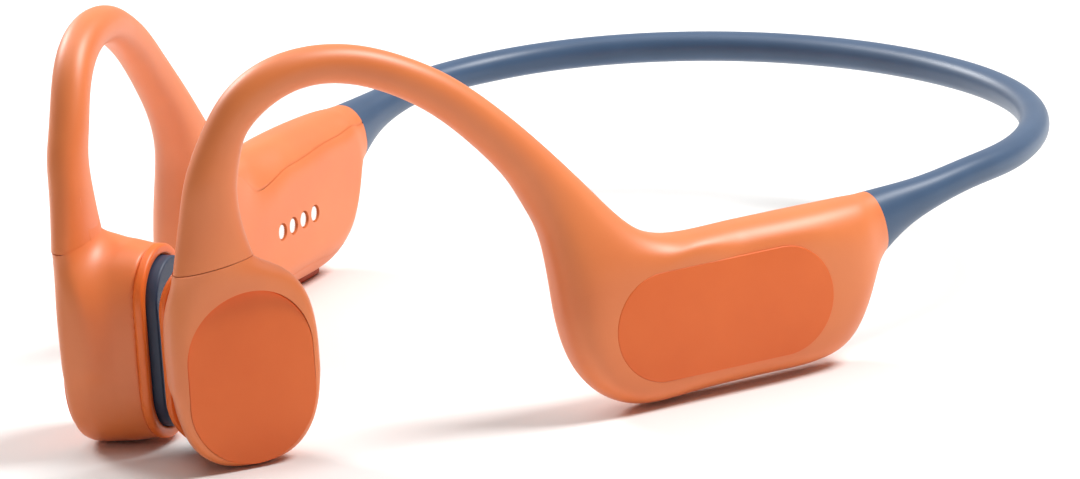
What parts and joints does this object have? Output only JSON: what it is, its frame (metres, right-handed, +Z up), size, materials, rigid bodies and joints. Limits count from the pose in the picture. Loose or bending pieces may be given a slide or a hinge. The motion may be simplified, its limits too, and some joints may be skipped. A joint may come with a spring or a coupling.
{
  "type": "bone conduction headphones",
  "caption": "Open-ear bone conduction headphones: hooked orange sides with cheek pads and pods behind the ears, joined by a springy navy neckband.",
  "frame": {"origin": "on the level surface that the headphones stand on, midway between their sides and midway between their front and back", "axes": "+X to the wearer's left, +Y to the back of the head, +Z up"},
  "size_m": [0.0916, 0.131, 0.0472],
  "materials": {
    "shell_silicone": "soft-touch orange silicone over polycarbonate",
    "plate_plastic": "satin burnt-orange plastic",
    "lip_plastic": "satin saturated orange plastic",
    "button_silicone": "deep orange-red silicone",
    "band_silicone": "soft-touch navy silicone",
    "pad_silicone": "dark navy silicone",
    "gasket_rubber": "black rubber",
    "contact_metal": "rhodium-plated brass",
    "titanium_wire": "titanium memory wire",
    "cable_jacket": "black jacket",
    "spring_steel": "spring steel",
    "yoke_steel": "zinc-plated steel",
    "magnet_nickel": "nickel-plated magnet",
    "coil_copper": "enamelled copper winding",
    "cell_foil": "laminate foil",
    "board_laminate": "green solder mask on glass-epoxy laminate",
    "chip_resin": "black moulding resin"
  },
  "bodies": {
    "band": {"neckband_sleeve": "band_silicone", "neckband_wire": "titanium_wire", "neckband_cable": "cable_jacket"},
    "left_side": {"left_hook_wire": "titanium_wire", "left_hook_lead": "cable_jacket", "left_pod_outer_plate": "plate_plastic", "left_hook_shell": "shell_silicone", "left_pod_inner_cover": "shell_silicone", "left_speaker_case": "shell_silicone", "left_speaker_rim": "lip_plastic", "left_speaker_gasket": "gasket_rubber", "left_speaker_pad": "pad_silicone", "left_spring_plate": "spring_steel", "left_voice_coil": "coil_copper", "left_magnet_yoke": "yoke_steel", "left_drive_magnet": "magnet_nickel", "battery_cell": "cell_foil", "battery_board": "board_laminate", "microphone": "magnet_nickel", "key_switch": "chip_resin"},
    "right_side": {"right_hook_wire": "titanium_wire", "right_hook_lead": "cable_jacket", "right_pod_outer_plate": "plate_plastic", "right_hook_shell": "shell_silicone", "right_pod_inner_cover": "shell_silicone", "right_speaker_case": "shell_silicone", "right_speaker_rim": "lip_plastic", "right_speaker_gasket": "gasket_rubber", "right_speaker_pad": "pad_silicone", "right_spring_plate": "spring_steel", "right_voice_coil": "coil_copper", "right_magnet_yoke": "yoke_steel", "right_drive_magnet": "magnet_nickel", "right_speaker_plate": "plate_plastic", "main_board": "board_laminate", "bluetooth_chip": "chip_resin", "charging_contacts": "contact_metal", "port_magnets": "magnet_nickel", "volume_switches": "chip_resin"},
    "key": {"multifunction_key": "plate_plastic"},
    "volume_up": {"volume_up_button": "button_silicone"},
    "volume_down": {"volume_down_button": "button_silicone"}
  },
  "joints": [
    {"name": "left_flex", "type": "hinge", "parent": "band", "child": "left_side", "pos_m": [0.0435, 0.027, 0.0165], "axis": [0, 0, 1], "range_deg": [0, 40], "stiffness_Nm_per_rad": 0.15, "deforming": ["neckband_sleeve", "neckband_wire", "neckband_cable"]},
    {"name": "right_flex", "type": "hinge", "parent": "band", "child": "right_side", "pos_m": [-0.0435, 0.027, 0.0165], "axis": [0, 0, -1], "range_deg": [0, 40], "stiffness_Nm_per_rad": 0.15, "deforming": ["neckband_sleeve", "neckband_wire", "neckband_cable"]},
    {"name": "multifunction_press", "type": "slide", "parent": "left_side", "child": "key", "axis": [-0.9285, 0.3714, 0], "range_m": [0, 0.00025], "stiffness_N_per_m": 4000},
    {"name": "volume_up_press", "type": "slide", "parent": "right_side", "child": "volume_up", "axis": [0, 0, 1], "range_m": [0, 0.0003], "stiffness_N_per_m": 4000},
    {"name": "volume_down_press", "type": "slide", "parent": "right_side", "child": "volume_down", "axis": [0, 0, 1], "range_m": [0, 0.0003], "stiffness_N_per_m": 4000}
  ]
}
